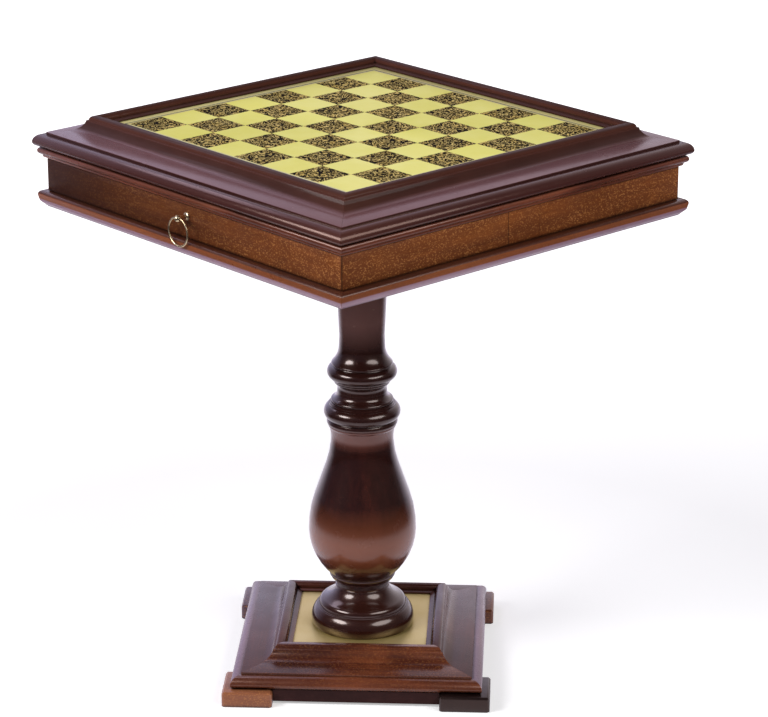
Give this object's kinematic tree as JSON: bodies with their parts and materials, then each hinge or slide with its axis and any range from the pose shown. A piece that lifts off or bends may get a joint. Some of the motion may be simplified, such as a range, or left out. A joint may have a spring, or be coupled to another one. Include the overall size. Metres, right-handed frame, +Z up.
{
  "type": "chess table",
  "caption": "Square pedestal table with an inlaid chess board of metal plates, a moulded case with a shallow drawer at front and back, and a turned baluster column.",
  "frame": {"origin": "on the floor below the middle of the pedestal", "axes": "+Z up; -Y towards the front drawer, +Y towards the rear drawer, +X to the right of a player who sits at the front"},
  "size_m": [0.5704, 0.5796, 0.7095],
  "materials": {
    "frame_wood": "satin-gloss lacquer over dark mahogany stain",
    "turned_wood": "gloss lacquer over dark mahogany stain",
    "veneer": "satin lacquer over red-brown veneer",
    "foot_wood": "satin lacquer over brown stain",
    "inner_wood": "unfinished",
    "light_plate": "polished brass",
    "dark_plate": "black ground with fine gilt scrollwork",
    "border_brass": "satin pale brass",
    "plate_brass": "satin brass",
    "line_black": "black inlay",
    "pull_brass": "polished pale brass",
    "steel": "zinc-plated",
    "lining": "green felt"
  },
  "bodies": {
    "table": {"apron_left": "veneer", "apron_right": "veneer", "base_backing": "inner_wood", "base_block": "inner_wood", "base_panel": "frame_wood", "base_plate": "plate_brass", "base_rail_back": "frame_wood", "base_rail_front": "frame_wood", "base_rail_left": "frame_wood", "base_rail_right": "frame_wood", "bead_back": "frame_wood", "bead_front": "frame_wood", "bead_left": "frame_wood", "bead_right": "frame_wood", "board_battens": "inner_wood", "board_border": "border_brass", "board_core": "inner_wood", "board_line": "line_black", "case_dividers": "inner_wood", "case_floor": "frame_wood", "dark_squares": "dark_plate", "drawer_guides": "inner_wood", "drawer_runners": "inner_wood", "foot_back": "foot_wood", "foot_front": "foot_wood", "foot_left": "foot_wood", "foot_mould_back": "frame_wood", "foot_mould_front": "frame_wood", "foot_mould_left": "frame_wood", "foot_mould_right": "frame_wood", "foot_right": "foot_wood", "light_squares": "light_plate", "mount_plate": "frame_wood", "pedestal_collar": "turned_wood", "pedestal_shaft": "turned_wood", "pedestal_vase": "turned_wood", "rod_nuts": "steel", "rod_washers": "steel", "sub_top": "inner_wood", "threaded_rod": "steel", "top_rail_back": "frame_wood", "top_rail_front": "frame_wood", "top_rail_left": "frame_wood", "top_rail_right": "frame_wood", "wood_screws": "steel"},
    "drawer_front": {"drawer_back_front": "inner_wood", "drawer_bottom_front": "inner_wood", "drawer_face_front": "veneer", "drawer_lining_front": "lining", "drawer_sides_front": "inner_wood", "pull_post_front": "pull_brass"},
    "ring_front": {"pull_ring_front": "pull_brass"},
    "drawer_rear": {"drawer_back_rear": "inner_wood", "drawer_bottom_rear": "inner_wood", "drawer_face_rear": "veneer", "drawer_lining_rear": "lining", "drawer_sides_rear": "inner_wood", "pull_post_rear": "pull_brass"},
    "ring_rear": {"pull_ring_rear": "pull_brass"}
  },
  "joints": [
    {"name": "drawer_front_slide", "type": "slide", "parent": "table", "child": "drawer_front", "axis": [0, -1, 0], "range_m": [0, 0.2]},
    {"name": "drawer_rear_slide", "type": "slide", "parent": "table", "child": "drawer_rear", "axis": [0, 1, 0], "range_m": [0, 0.2]},
    {"name": "ring_front_swing", "type": "hinge", "parent": "drawer_front", "child": "ring_front", "pos_m": [0, -0.2855, 0.64135], "axis": [-1, 0, 0], "range_deg": [-3, 170]},
    {"name": "ring_rear_swing", "type": "hinge", "parent": "drawer_rear", "child": "ring_rear", "pos_m": [0, 0.2855, 0.64135], "axis": [1, 0, 0], "range_deg": [-3, 170]}
  ]
}
